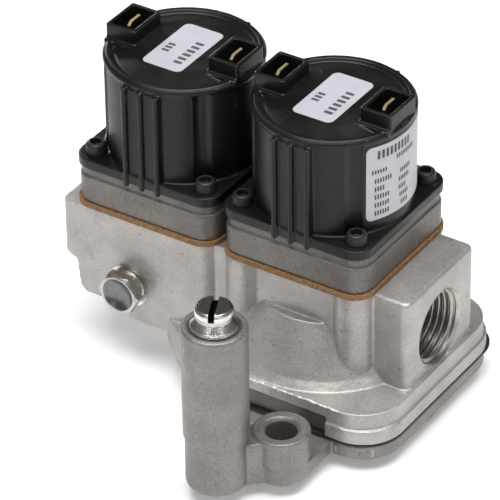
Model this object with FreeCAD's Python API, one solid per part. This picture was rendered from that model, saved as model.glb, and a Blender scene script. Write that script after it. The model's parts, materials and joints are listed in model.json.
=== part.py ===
import FreeCAD, Part
import os
from math import atan2, cos, degrees, hypot, pi, sin, tan
from FreeCAD import Vector

# Dual solenoid gas valve with a pressure regulator and 1/2 inch pipe ports.  Millimetres.
# Written about the centre of the casting's top deck: X runs from inlet to outlet, -Y is the side
# with the pressure tapping, +Z is up and the deck is z = 0.  emit() then moves every node so that
# the origin lies on the axis of the outlet port, just inside its mouth, with +X the way gas leaves.

# ---- driving dimensions ----
PITCH = 46.4                       # between the two solenoid axes
PIPE_Z = -16.3                     # port axis, under the deck
IN_X, OUT_X = -49.0, 56.0          # end faces
PORT_R = 9.3                       # 1/2 inch pipe thread, over the crests
PORT_DRILL_R = 9.0                 # bore that goes on behind each thread
IN_THREAD, OUT_THREAD = 11.5, 14.5            # depth of the threads from the end faces
PORT_MOUTH_R = 10.9                # lead-in at each port
MOUTH_DEPTH = 1.7
ORIGIN_X = OUT_X - 2.0

WALL_Y = 22.2                      # flat front and back walls of the inlet half
BAY_Y = 19.6                       # recessed wall between the columns
COL_R, COL_Y = 5.6, 16.6           # round columns under the corners of the gaskets
COL_X = (-6.6, 6.6, 39.8)
END_Y0, END_Y1, END_R = -16.8, 17.2, 2.2      # square block round the outlet port
FLANGE_X1, FLANGE_Y0, FLANGE_Y1, FLANGE_R = 58.0, -34.4, 30.0, 12.0
FLANGE_LEFT, JOINT_LEFT = -17.6, -15.4        # the flange's inlet side slopes between these
FLANGE_Z = -27.0                   # top of the lower flange
STEP_Z = -31.8                     # mould parting step on its edge
JOINT_Z = -36.0                    # lower face of the casting
RECESS_X, RECESS_TOP, RECESS_DEPTH = 41.5, -30.3, 1.5      # long hollow in the flange's front edge

CELL_R, CELL_DEPTH = 14.8, 9.0     # round cell under each solenoid
SEAT_BOSS_R, SEAT_BORE_R = 8.4, 5.6
SEAT_Z = -0.6                      # top of each solenoid seat
CHANNEL_R, CHANNEL_Z = 4.6, -17.0  # drilling from the first seat to the second cell
MAIN_SEAT_Z = -20.7                # lip that the main valve closes on, facing up
GALLERY_R, GALLERY_TOP = 8.2, -10.0
HOUSING_X, HOUSING_Y = PITCH / 2, -3.5        # axis of the diaphragm housing
HOUSING_R, HOUSING_FOOT = 27.2, 2.2           # foot: sloping fillet on the flange
DOME_R, DOME_TOP = 19.0, -12.0
CHAMBER_R, CHAMBER_TOP = 24.0, -24.0

SCREW_X, SCREW_Y = 17.4, 17.2      # screws of each solenoid, from its axis
SCREW_R, HOLE_R, CLEAR_R = 1.95, 2.0, 2.25
HEAD_R, HEAD_TAPER, HEAD_H = 3.0, 0.35, 3.1

GASKET_T = 1.4
PAD, PAD_R = 22.6, 6.0             # half side and corner radius of the square gaskets
BONNET_HALF, BONNET_STEP, BONNET_TOP = 22.0, 9.3, 12.1
TUBE_R, TUBE_BORE, TUBE_TOP = 6.0, 5.5, 38.0
BRIM_R, BRIM_Z0, BRIM_Z1 = 9.0, 7.4, 8.4      # brim that holds the core tube under the bonnet
POLE_Z = 28.0                      # lower face of the fixed pole
PLUNGER_R, PLUNGER_TOP = 5.4, 25.0
PLUNGER_FOOT_R, PLUNGER_FOOT_TOP = 7.8, 2.6
DISC_R, DISC_TOP = 7.0, 1.6        # rubber disc in the plunger's foot
FRAME_R, FRAME_T, FRAME_TOP = 18.4, 1.2, 38.6
WASHER_TOP = 13.0                  # flux washer under the frame
SPOOL_R, SPOOL_BORE_R, SPOOL_TOP, SPOOL_T = 16.6, 7.6, 37.2, 1.2
WINDING_R = 15.6

COVER_R, COVER_WALL, COVER_TOP = 21.4, 2.0, 43.8
COVER_ROOF = 39.6                  # underside of the moulded roof
FLANGE_HALF, FLANGE_TOP = 22.2, 15.0
LABEL_Z = 44.0                     # raised middle of the coil cover
RIM_Z0, RIM_Z1 = 42.0, 43.0        # raised bead round the top
DISH_R0, DISH_R1, DISH_R2, DISH_Z = 13.4, 18.6, 19.7, 42.8     # shallow hollow round the middle
SHROUD_X, SHROUD_FLOOR, SHROUD_TOP = 16.1, 41.2, 48.0      # terminal shrouds, either side of the axis
RIB_PITCH, RIB_SHIFT, RIB_R, RIB_Y, RIB_TOP, RIB_BOTTOM = 4.95, 0.5, 0.85, 22.1, 41.8, 11.3
RIB_PAD_Y = 21.6                   # flat between the ribs
FLUTE_R = 4.0                      # hollow in the cover's wall over each screw

DIAPHRAGM_T, PAPER_T = 0.6, 0.4
SHEET_Z = JOINT_Z - DIAPHRAGM_T    # underside of the diaphragm
PLATE_TOP = SHEET_Z - PAPER_T
PLATE_BOT = -41.0
BULGE_Z, BULGE_R = -45.0, 22.1
CONVOLUTION_R = 18.6
BACKING_R, BACKING_T = 15.8, 1.0   # plates that clamp the diaphragm
STEM_R = 1.6
MAIN_DISC_R, MAIN_DISC_T, MAIN_SEAL_T = 7.2, 1.7, 1.0
LOWER_SCREWS = [(49.5, -26.0), (49.5, 21.5), (-5.0, -24.2), (-5.0, 20.5),
                (23.2, -30.3), (23.2, 25.6), (-9.6, -3.5), (53.2, -3.5)]

TOWER_X, TOWER_Y, TOWER_R, TOWER_STEP = 24.3, -59.1, 8.7, 0.45
TOWER_TOP, TOWER_BORE, TOWER_SEAM = 8.0, 5.6, -25.8
TOWER_FLOOR = -30.0                # seat of the regulator valve
RING_X, RING_Y, RING_R = 36.3, -46.9, 7.7     # vent boss
RING_TOP, RING_SEAM, RING_BORE, RING_FLOOR = -27.5, -35.5, 4.2, -36.6
VENT_DISC_R, VENT_DISC_T = 3.8, 0.8           # damping disc in a step at the bore's foot
DRILL_Z = -38.8                    # drillings inside the lower cover
WEB_LENGTH = hypot(RING_X - TOWER_X, RING_Y - TOWER_Y)
WEB_TURN = degrees(atan2(RING_Y - TOWER_Y, RING_X - TOWER_X))
WEB_HALF, WEB_TOP = 4.6, -28.2

CAP_THREAD_R, CAP_FLANGE_R, CAP_R = 5.5, 6.4, 5.05
CAP_SEAT, CAP_RIM, CAP_FLARE, CAP_HEAD, CAP_TOP = 8.0, 8.5, 10.4, 11.8, 14.0
CAP_NECK_R = 4.5
CAP_SLOT, CAP_SLOT_DEPTH = 1.5, 1.8
CAP_SLOT_TURN = 24.5               # how the slot happens to point at rest
ADJUST_R, ADJUST_Z0, ADJUST_Z1 = 5.5, -8.0, -2.0
SEAT_DISC_R, GUIDE_R = 5.2, 2.9    # plates at both ends of the regulator spring
SPRING_Z0, SPRING_Z1 = -26.8, -9.0
VALVE_DISC_Z, PAD_Z = -28.2, -29.2

PLUG_X, PLUG_Z, PLUG_R = -27.6, -20.4, 5.1    # 1/8 inch pressure tapping
PLUG_HEX, PLUG_HEAD, PLUG_FACE_Y = 11.1, 3.0, -28.3
PLUG_SHANK, PLUG_HOLE = 11.4, 8.5
PLUG_DISH_R, PLUG_DISH_DEPTH = 4.95, 1.8
TAPPING_R, TAPPING_DEPTH = 1.6, 20.0          # drilling from the plug to the first seat

HALF = PITCH / 2
SIDES = (("inlet", -HALF), ("outlet", HALF))


# ---- small makers ----
def box(x0, x1, y0, y1, z0, z1):
    return Part.makeBox(x1 - x0, y1 - y0, z1 - z0, Vector(x0, y0, z0))


def cyl(r, z0, z1, x=0.0, y=0.0):
    return Part.makeCylinder(r, z1 - z0, Vector(x, y, z0))


def rod(r, start, along, length):
    return Part.makeCylinder(r, length, Vector(*start), Vector(*along))


def cone(r0, r1, z0, z1, x=0.0, y=0.0):
    return Part.makeCone(r0, r1, z1 - z0, Vector(x, y, z0))


def ring(ro, ri, z0, z1, x=0.0, y=0.0):
    return cyl(ro, z0, z1, x, y).cut(cyl(ri, z0 - 1, z1 + 1, x, y))


def outline(corners):
    """Closed wire in the XY plane; each corner is (x, y, radius)."""
    edges = []
    ends = []
    count = len(corners)
    for i in range(count):
        x, y, r = corners[i]
        px, py, _ = corners[i - 1]
        nx, ny, _ = corners[(i + 1) % count]
        here = Vector(x, y, 0)
        if r == 0:
            ends.append((here, here, here))
            continue
        back = (Vector(px, py, 0) - here).normalize()
        ahead = (Vector(nx, ny, 0) - here).normalize()
        half = back.getAngle(ahead) / 2
        reach = r / tan(half)
        middle = (back + ahead).normalize()
        nearest = here + middle * (r / sin(half) - r)
        ends.append((here + back * reach, nearest, here + ahead * reach))
    for i in range(count):
        start, mid, end = ends[i]
        if (end - start).Length > 1e-6:
            edges.append(Part.Arc(start, mid, end).toShape())
        following = ends[(i + 1) % count][0]
        if (following - end).Length > 1e-6:
            edges.append(Part.LineSegment(end, following).toShape())
    return Part.Wire(edges)


def prism(corners, z0, z1):
    plate = Part.Face(outline(corners))
    plate.translate(Vector(0, 0, z0))
    return plate.extrude(Vector(0, 0, z1 - z0))


def side_prism(corners, y0, y1):
    """Like prism, for an outline in the XZ plane swept along Y."""
    plate = Part.Face(outline(corners))
    plate.rotate(Vector(0, 0, 0), Vector(1, 0, 0), 90)
    plate.translate(Vector(0, y0, 0))
    return plate.extrude(Vector(0, y1 - y0, 0))


def slab(x0, x1, y0, y1, z0, z1, r):
    return prism([(x0, y0, r), (x1, y0, r), (x1, y1, r), (x0, y1, r)], z0, z1)


def square(cx, half, r, z0, z1):
    return slab(cx - half, cx + half, -half, half, z0, z1, r)


def hexagon(across, z0, z1, x=0.0, y=0.0):
    reach = across / 2 / cos(pi / 6)
    corners = [(x + reach * cos(k * pi / 3), y + reach * sin(k * pi / 3), 0) for k in range(6)]
    return prism(corners, z0, z1)


def fuse(shapes):
    return shapes[0].multiFuse(shapes[1:]).removeSplitter()


def cut_all(shape, tools):
    for tool in tools:
        shape = shape.cut(tool)
    return shape


def corners_of(cx):
    return [(cx + sx * SCREW_X, sy * SCREW_Y) for sx in (-1, 1) for sy in (-1, 1)]


def drill(points, r, z0, z1):
    return [cyl(r, z0, z1, x, y) for x, y in points]


def coil_spring(mean_r, wire_r, z0, z1, turns, x=0.0, y=0.0):
    """Compression spring between the planes z0 and z1."""
    height = z1 - z0 - 2 * wire_r
    helix = Part.makeHelix(height / turns, height, mean_r)
    loop = Part.Wire(Part.makeCircle(wire_r, Vector(mean_r, 0, 0), Vector(0, 1, 0)))
    spring = Part.Wire(helix).makePipeShell([loop], True, True)
    spring.translate(Vector(x, y, z0 + wire_r))
    return spring


def emit(name, shape):
    moved = shape.copy()
    moved.translate(Vector(-ORIGIN_X, 0, -PIPE_Z))
    moved.exportStep("parts/" + name + ".step")
    print(name, "volume", round(moved.Volume), "solids", len(moved.Solids), "valid", moved.isValid())


# ---- main casting ----
def flange_corners(inset, left, back_r=FLANGE_R):
    """Outline of the diaphragm joint: square to the outlet, with cut corners to the inlet."""
    x1 = FLANGE_X1 - inset
    y0 = FLANGE_Y0 + inset
    y1 = FLANGE_Y1 - inset
    cut_x = left + 17.4
    return [(left, -20.4, 4.0), (cut_x, y0, 6.0), (x1, y0, FLANGE_R), (x1, y1, back_r),
            (cut_x, y1, 6.0), (left, 17.4, 4.0)]


def inlet_block():
    """Seen from the front: its underside steps down towards the diaphragm housing."""
    profile = [(IN_X, 0, 0), (IN_X, -16.8, 1.0), (-44.8, -18.2, 1.0), (-43.9, -26.4, 1.5),
               (-42.0, -28.2, 1.0), (-29.0, -28.2, 0.8), (-27.6, STEP_Z, 1.0), (0, STEP_Z, 0), (0, 0, 0)]
    plan = [(IN_X, -WALL_Y, 2.0), (COL_X[0], -WALL_Y, 0), (COL_X[0], WALL_Y, 0), (IN_X, WALL_Y, 2.0)]
    block = side_prism(profile, -WALL_Y, WALL_Y)
    boss = rod(14.2, (IN_X, 0, PIPE_Z), (1, 0, 0), 12.0)
    return block.common(prism(plan, JOINT_Z, 1)).fuse(boss)


def outlet_block():
    block = slab(COL_X[2], OUT_X, END_Y0, END_Y1, JOINT_Z + 2, 0, END_R)
    top_edges = [e for e in block.Edges if abs(e.BoundBox.ZMin) < 1e-6]
    return block.makeFillet(1.2, top_edges)


def casting_outside():
    bottom = FLANGE_Z - 1
    pieces = [inlet_block(), outlet_block(),
              box(COL_X[0], COL_X[2], -BAY_Y, BAY_Y, bottom, 0),
              box(COL_X[2], COL_X[2] + COL_R, -COL_Y, COL_Y, bottom, 0)]
    for x in COL_X:
        for side in (-1, 1):
            pieces.append(cyl(COL_R, bottom, 0, x, side * COL_Y))
    upper = prism(flange_corners(0.7, FLANGE_LEFT), STEP_Z, FLANGE_Z)
    lower = prism(flange_corners(0.0, FLANGE_LEFT), JOINT_Z, STEP_Z)
    foot_z = FLANGE_Z + HOUSING_FOOT
    skirt = cone(HOUSING_R + HOUSING_FOOT, HOUSING_R, FLANGE_Z, foot_z, HOUSING_X, HOUSING_Y)
    skirt = skirt.common(prism(flange_corners(0.7, FLANGE_LEFT), FLANGE_Z, foot_z))
    dome = cone(HOUSING_R, DOME_R, foot_z, DOME_TOP, HOUSING_X, HOUSING_Y)
    return fuse(pieces + [upper, lower, skirt, dome])


def port_cuts(face_x, into, thread, depth):
    return [rod(PORT_R, (face_x - into, 0, PIPE_Z), (into, 0, 0), thread + 1),
            rod(PORT_DRILL_R, (face_x - into, 0, PIPE_Z), (into, 0, 0), depth + 1),
            Part.makeCone(PORT_MOUTH_R, PORT_R, MOUTH_DEPTH, Vector(face_x, 0, PIPE_Z), Vector(into, 0, 0))]


def passage_cuts():
    """Gas way: inlet cell, first seat, channel, outlet cell, second seat, main seat, chamber, outlet."""
    second_cell_x = 10.6
    return [box(-37.5, -33.2, -7, 7, -17, -CELL_DEPTH + 1),
            cyl(SEAT_BORE_R, -22.0, 0, -HALF),
            rod(CHANNEL_R, (-HALF, 0, CHANNEL_Z), (1, 0, 0), HALF + second_cell_x),
            cyl(3.2, -20.0, -CELL_DEPTH + 1, second_cell_x),
            cyl(SEAT_BORE_R, GALLERY_TOP - 1, 0, HALF),
            cyl(GALLERY_R, MAIN_SEAT_Z - 0.6, GALLERY_TOP, HOUSING_X, HOUSING_Y),
            cyl(SEAT_BORE_R, CHAMBER_TOP - 1, MAIN_SEAT_Z, HOUSING_X, HOUSING_Y),
            cyl(CHAMBER_R, JOINT_Z - 1, CHAMBER_TOP, HOUSING_X, HOUSING_Y),
            box(36.0, 41.5, -7.5, 7.5, CHAMBER_TOP - 2, PIPE_Z - 0.7)]


def cell_cuts(cx):
    return [ring(CELL_R, SEAT_BOSS_R, -CELL_DEPTH, 1, cx),
            ring(SEAT_BOSS_R + 0.5, SEAT_BORE_R + 1.1, SEAT_Z - 0.8, 1, cx),
            cyl(SEAT_BOSS_R + 0.5, SEAT_Z, 1, cx)] + drill(corners_of(cx), HOLE_R, -10.0, 1)


def main_body():
    body = casting_outside()
    slope = [(-20, STEP_Z - 0.1, 0), (FLANGE_LEFT, STEP_Z - 0.1, 0), (JOINT_LEFT, JOINT_Z - 0.1, 0),
             (-20, JOINT_Z - 0.1, 0)]
    cuts = port_cuts(IN_X, 1, IN_THREAD, 16.0) + port_cuts(OUT_X, -1, OUT_THREAD, 19.0)
    cuts += passage_cuts()
    cuts += [rod(PLUG_R + 0.05, (PLUG_X, -WALL_Y - 1, PLUG_Z), (0, 1, 0), PLUG_HOLE + 1),
             rod(TAPPING_R, (PLUG_X, -WALL_Y, PLUG_Z), (0, 1, 0), TAPPING_DEPTH),
             box(-22, RECESS_X, FLANGE_Y0 - 2, FLANGE_Y0 + RECESS_DEPTH, JOINT_Z - 1, RECESS_TOP),
             side_prism(slope, -40, 40)]
    for _, cx in SIDES:
        cuts += cell_cuts(cx)
    cuts += drill(LOWER_SCREWS, HOLE_R, JOINT_Z - 1, -29.5)
    lip = ring(SEAT_BORE_R + 1.0, SEAT_BORE_R, MAIN_SEAT_Z - 0.6, MAIN_SEAT_Z, HOUSING_X, HOUSING_Y)
    return cut_all(body, cuts).fuse(lip).removeSplitter()


def inlet_screen():
    """Perforated disc across the end of the inlet bore."""
    screen_x, thickness, pitch = -33.9, 0.7, 3.2
    disc = rod(PORT_DRILL_R, (screen_x, 0, PIPE_Z), (1, 0, 0), thickness)
    holes = []
    for i in range(-2, 3):
        for j in range(-2, 3):
            if hypot(i, j) < 2.5:
                holes.append(rod(1.2, (screen_x - 1, i * pitch, PIPE_Z + j * pitch), (1, 0, 0), 3))
    return disc.cut(fuse(holes))


def tap_plug():
    """Hexagon plug of the pressure tapping, dished; drawn upright, then laid along -Y."""
    corner_r, edge_z = PLUG_HEX / 2 + 1.35, PLUG_HEAD - 1.3
    head = hexagon(PLUG_HEX, 0, PLUG_HEAD)
    head = head.common(cone(corner_r, PLUG_HEX / 2 - 0.25, edge_z, PLUG_HEAD).fuse(cyl(corner_r, 0, edge_z)))
    ball = (PLUG_DISH_R ** 2 + PLUG_DISH_DEPTH ** 2) / (2 * PLUG_DISH_DEPTH)
    dish = Part.makeSphere(ball, Vector(0, 0, PLUG_HEAD - PLUG_DISH_DEPTH + ball))
    plug = fuse([head.cut(dish), cyl(PLUG_R, -PLUG_SHANK, 0)])
    plug.rotate(Vector(0, 0, 0), Vector(1, 0, 0), 90)
    plug.translate(Vector(PLUG_X, PLUG_FACE_Y + PLUG_HEAD, PLUG_Z))
    return plug


def tap_plug_washer():
    disc = rod(6.2, (PLUG_X, -WALL_Y, PLUG_Z), (0, -1, 0), 0.9)
    return disc.cut(rod(PLUG_R + 0.05, (PLUG_X, -WALL_Y + 1, PLUG_Z), (0, -1, 0), 3))


# ---- solenoid units ----
def bonnet_gasket(cx):
    sheet = square(cx, PAD, PAD_R, 0, GASKET_T)
    return cut_all(sheet, [cyl(CELL_R, -1, 3, cx)] + drill(corners_of(cx), CLEAR_R, -1, 3))


def bonnet(cx):
    block = fuse([square(cx, BONNET_HALF, PAD_R - 0.5, GASKET_T, BONNET_STEP),
                  square(cx, BONNET_HALF - 0.6, PAD_R - 1.0, BONNET_STEP, BONNET_TOP)])
    holes = [cyl(CELL_R, 0, BRIM_Z1, cx), cyl(TUBE_R + 0.02, 0, 20, cx)]
    return cut_all(block, holes + drill(corners_of(cx), CLEAR_R, 0, 20))


def core_tube(cx):
    tube = fuse([cyl(TUBE_R, BRIM_Z0, TUBE_TOP, cx), cyl(BRIM_R, BRIM_Z0, BRIM_Z1, cx)])
    return tube.cut(cyl(TUBE_BORE, 0, 50, cx))


def pole_piece(cx):
    return fuse([cyl(TUBE_BORE, POLE_Z, TUBE_TOP, cx), cyl(TUBE_R, TUBE_TOP, TUBE_TOP + 1.0, cx),
                 cyl(3.0, TUBE_TOP + 1.0, TUBE_TOP + 1.4, cx)])


def plunger(cx):
    """Steel core with a saw cut across its top and a cup for the rubber disc."""
    core = fuse([cyl(PLUNGER_R, PLUNGER_FOOT_TOP, PLUNGER_TOP, cx),
                 cyl(PLUNGER_FOOT_R, 0.2, PLUNGER_FOOT_TOP, cx)])
    cut_z = PLUNGER_TOP - 8
    saw_cut = box(cx - 0.6, cx + 0.6, -PLUNGER_R - 1, PLUNGER_R + 1, cut_z, PLUNGER_TOP + 1)
    return cut_all(core, [cyl(DISC_R, -1, DISC_TOP, cx), saw_cut.cut(cyl(PLUNGER_R - 1.2, 0, 40, cx))])


def plunger_seal(cx):
    return cyl(DISC_R, SEAT_Z, DISC_TOP, cx)


def plunger_spring(cx):
    return coil_spring(6.7, 0.35, PLUNGER_FOOT_TOP, BRIM_Z0, 4, cx)


def bobbin(cx):
    spool = fuse([cyl(SPOOL_BORE_R, WASHER_TOP, SPOOL_TOP, cx),
                  cyl(SPOOL_R, WASHER_TOP, WASHER_TOP + SPOOL_T, cx),
                  cyl(SPOOL_R, SPOOL_TOP - SPOOL_T, SPOOL_TOP, cx)])
    return spool.cut(cyl(TUBE_R + 0.15, 0, 50, cx))


def winding(cx):
    return ring(WINDING_R, SPOOL_BORE_R, WASHER_TOP + SPOOL_T, SPOOL_TOP - SPOOL_T, cx)


def flux_frame(cx):
    """Steel can over the coil, with a notch under each terminal."""
    shell = cyl(FRAME_R, WASHER_TOP, FRAME_TOP, cx)
    cuts = [cyl(FRAME_R - FRAME_T, 0, FRAME_TOP - FRAME_T, cx), cyl(TUBE_R + 0.1, 0, 50, cx)]
    for side in (-1, 1):
        x = cx + side * SHROUD_X
        cuts.append(box(x - 1.8, x + 1.8, -4.2, 4.2, 30, 50))
    return cut_all(shell, cuts)


def flux_washer(cx):
    return ring(FRAME_R, TUBE_R + 0.1, BONNET_TOP, WASHER_TOP, cx)


def terminal(cx, side):
    """Spade terminal, 6.3 by 0.8, with a kink along its width."""
    x = cx + side * SHROUD_X
    half_t, half_w, kink_y = 0.4, 3.15, -0.7
    front, back = x + 0.55, x - 0.25
    plan = [(front - half_t, -half_w, 0), (front + half_t, -half_w, 0), (back + half_t, kink_y, 0),
            (back + half_t, half_w, 0), (back - half_t, half_w, 0), (back - half_t, kink_y, 0)]
    return prism(plan, SPOOL_TOP, SHROUD_TOP - 0.8)


def shroud(cx, side):
    """Square collar round one terminal, on a low plinth that spreads inwards."""
    x = cx + side * SHROUD_X
    half_x, half_y, spread = 4.6, 6.3, 0.7
    x0 = x - half_x - (spread if side > 0 else 0)
    x1 = x + half_x + (spread if side < 0 else 0)
    return [slab(x - half_x, x + half_x, -half_y, half_y, SHROUD_FLOOR, SHROUD_TOP, 0.5),
            slab(x0, x1, -7.6, 7.6, SHROUD_FLOOR + 0.8, LABEL_Z, 0.5)]


def shroud_cuts(cx, side):
    x = cx + side * SHROUD_X
    return [slab(x - 3.6, x + 3.6, -5.2, 5.2, SHROUD_FLOOR, SHROUD_TOP + 1, 0.4),
            box(x - 1.4, x + 1.4, -3.5, 3.5, COVER_ROOF - 1, SHROUD_FLOOR + 1)]


def ribs(cx):
    pieces = []
    for side in (-1, 1):
        y0, y1 = sorted((side * (COVER_R - 1.0), side * RIB_Y))
        pad_y0, pad_y1 = sorted((side * 19.5, side * RIB_PAD_Y))
        middle = cx + RIB_SHIFT
        pieces.append(box(middle - RIB_PITCH, middle + RIB_PITCH, pad_y0, pad_y1, FLANGE_TOP, RIB_TOP - 0.5))
        for step in (-1, 0, 1):
            x = middle + RIB_PITCH * step
            pieces.append(cyl(RIB_R, RIB_BOTTOM, RIB_TOP, x, side * RIB_Y))
            pieces.append(box(x - RIB_R, x + RIB_R, y0, y1, BONNET_TOP, RIB_TOP))
    return pieces


def coil_cover(cx):
    edge = 0.6
    pieces = [cyl(COVER_R, BONNET_TOP, COVER_TOP - edge, cx),
              cone(COVER_R, COVER_R - edge, COVER_TOP - edge, COVER_TOP, cx),
              cyl(COVER_R + 0.25, RIM_Z0, RIM_Z1, cx),
              square(cx, FLANGE_HALF, PAD_R - 0.8, BONNET_TOP, FLANGE_TOP)]
    shell = fuse(pieces + ribs(cx)).cut(cone(DISH_R2 - 0.8, DISH_R2, DISH_Z, COVER_TOP, cx))
    middle = cone(DISH_R1, DISH_R0, DISH_Z, LABEL_Z, cx)
    half = FLANGE_HALF - 0.05
    cuts = [box(cx - 30, cx + 30, -half, half, 0, BONNET_TOP),
            cyl(COVER_R - COVER_WALL, 0, COVER_ROOF, cx)]
    cuts += shroud_cuts(cx, -1) + shroud_cuts(cx, 1)
    cuts += drill(corners_of(cx), FLUTE_R, FLANGE_TOP, RIM_Z0)
    cuts += drill(corners_of(cx), CLEAR_R, 0, 30)
    whole = fuse([shell, middle] + shroud(cx, -1) + shroud(cx, 1))
    return cut_all(whole, cuts).removeSplitter()


def pan_screw(x, y, bearing_z, length, upright=True):
    """Pan head screw with a hexagon socket; its head bears on the plane z = bearing_z."""
    head = cone(HEAD_R, HEAD_R - HEAD_TAPER, 0, HEAD_H)
    head = head.makeFillet(0.9, [e for e in head.Edges if e.BoundBox.ZMin > HEAD_H - 0.01])
    screw = fuse([head.cut(hexagon(3.0, 1.2, HEAD_H + 1)), cyl(SCREW_R, -length, 0)])
    if not upright:
        screw.rotate(Vector(0, 0, 0), Vector(1, 0, 0), 180)
    screw.translate(Vector(x, y, bearing_z))
    return screw


def bonnet_screws(cx):
    return Part.makeCompound([pan_screw(x, y, FLANGE_TOP, 24.0) for x, y in corners_of(cx)])


def top_label(cx):
    return slab(cx - 6.1, cx + 6.1, -11.7, 10.5, LABEL_Z, LABEL_Z + 0.15, 1.8)


def rating_label(cx):
    """Sheet wrapped round the front outer quarter of the coil cover."""
    z0, z1, start, span = 18.4, 40.6, -36.0, 72.0
    sheet = ring(COVER_R + 0.15, COVER_R, z0, z1)
    sheet = sheet.common(Part.makeCylinder(40, 60, Vector(0, 0, 0), Vector(0, 0, 1), span))
    sheet.rotate(Vector(0, 0, 0), Vector(0, 0, 1), start)
    sheet.translate(Vector(cx, 0, 0))
    return sheet


# ---- main valve and diaphragm ----
def diaphragm():
    """Rubber sheet with one downward convolution; a tab shows at its back outlet corner."""
    sheet = prism(flange_corners(0.0, JOINT_LEFT, FLANGE_R - 2.6), SHEET_Z, JOINT_Z)
    centre = Vector(HOUSING_X, HOUSING_Y, SHEET_Z)
    roll = Part.makeTorus(CONVOLUTION_R, 2.2, centre).common(box(-60, 90, -60, 60, -50, SHEET_Z))
    roll = roll.cut(Part.makeTorus(CONVOLUTION_R, 1.5, centre))
    sheet = sheet.cut(ring(CONVOLUTION_R + 1.5, CONVOLUTION_R - 1.5, -50, 0, HOUSING_X, HOUSING_Y))
    centre_hole = cyl(STEM_R + 0.25, -60, 0, HOUSING_X, HOUSING_Y)
    return cut_all(fuse([sheet, roll]), [centre_hole] + drill(LOWER_SCREWS, CLEAR_R, -60, 0))


def paper_gasket():
    sheet = prism(flange_corners(0.1, JOINT_LEFT + 0.1), PLATE_TOP, SHEET_Z)
    window = cyl(CHAMBER_R, -60, 0, HOUSING_X, HOUSING_Y)
    return cut_all(sheet, [window] + drill(LOWER_SCREWS, CLEAR_R, -60, 0))


def main_valve():
    """Disc over the seat, with a stem down to the diaphragm and a collar over its plate."""
    underside = MAIN_SEAT_Z + MAIN_SEAL_T
    plate_top = JOINT_Z + BACKING_T
    return fuse([cyl(MAIN_DISC_R, underside, underside + MAIN_DISC_T, HOUSING_X, HOUSING_Y),
                 cyl(STEM_R, PLATE_BOT - 0.4, underside + MAIN_DISC_T, HOUSING_X, HOUSING_Y),
                 cyl(STEM_R + 1.0, plate_top, plate_top + 1.2, HOUSING_X, HOUSING_Y)])


def main_valve_seal():
    return ring(MAIN_DISC_R, STEM_R, MAIN_SEAT_Z, MAIN_SEAT_Z + MAIN_SEAL_T, HOUSING_X, HOUSING_Y)


def diaphragm_plate(z0):
    return ring(BACKING_R, STEM_R, z0, z0 + BACKING_T, HOUSING_X, HOUSING_Y)


def stem_nut():
    nut = hexagon(6.0, PLATE_BOT + 0.4, SHEET_Z - BACKING_T, HOUSING_X, HOUSING_Y)
    return nut.cut(cyl(STEM_R, -50, 0, HOUSING_X, HOUSING_Y))


def main_spring():
    bottom = MAIN_SEAT_Z + MAIN_SEAL_T + MAIN_DISC_T
    return coil_spring(4.6, 0.4, bottom, GALLERY_TOP - 0.6, 4, HOUSING_X, HOUSING_Y)


def spring_cup():
    """Ring under the roof of the gallery that holds the top of the main spring."""
    brim = ring(GALLERY_R - 0.3, 4.0, GALLERY_TOP - 0.6, GALLERY_TOP, HOUSING_X, HOUSING_Y)
    collar = ring(4.0, 3.4, GALLERY_TOP - 2.2, GALLERY_TOP, HOUSING_X, HOUSING_Y)
    return fuse([brim, collar])


# ---- lower cover with the regulator tower ----
def web_slab(half_width, z0, z1):
    """Slab on the line from the tower axis to the vent boss axis."""
    web = box(0, WEB_LENGTH, -half_width, half_width, z0, z1)
    web.rotate(Vector(0, 0, 0), Vector(0, 0, 1), WEB_TURN)
    web.translate(Vector(TOWER_X, TOWER_Y, 0))
    return web


def tower_outside():
    edge = 0.5
    foot = cyl(TOWER_R - TOWER_STEP, PLATE_BOT, TOWER_SEAM, TOWER_X, TOWER_Y)
    foot_edge = [e for e in foot.Edges if e.BoundBox.ZMax < PLATE_BOT + 0.01]
    return [foot.makeFillet(1.2, foot_edge),
            cyl(TOWER_R, TOWER_SEAM, TOWER_TOP - edge, TOWER_X, TOWER_Y),
            cone(TOWER_R, TOWER_R - edge, TOWER_TOP - edge, TOWER_TOP, TOWER_X, TOWER_Y)]


def vent_boss():
    edge, peg_r, peg_z = 0.4, 4.6, -42.6
    return [cyl(RING_R, RING_SEAM, RING_TOP - edge, RING_X, RING_Y),
            cone(RING_R, RING_R - edge, RING_TOP - edge, RING_TOP, RING_X, RING_Y),
            cyl(RING_R - 0.5, PLATE_BOT, RING_SEAM, RING_X, RING_Y),
            cyl(peg_r, peg_z, PLATE_BOT, RING_X, RING_Y),
            cone(peg_r - 1.8, peg_r, peg_z - 1.8, peg_z, RING_X, RING_Y)]


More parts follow.
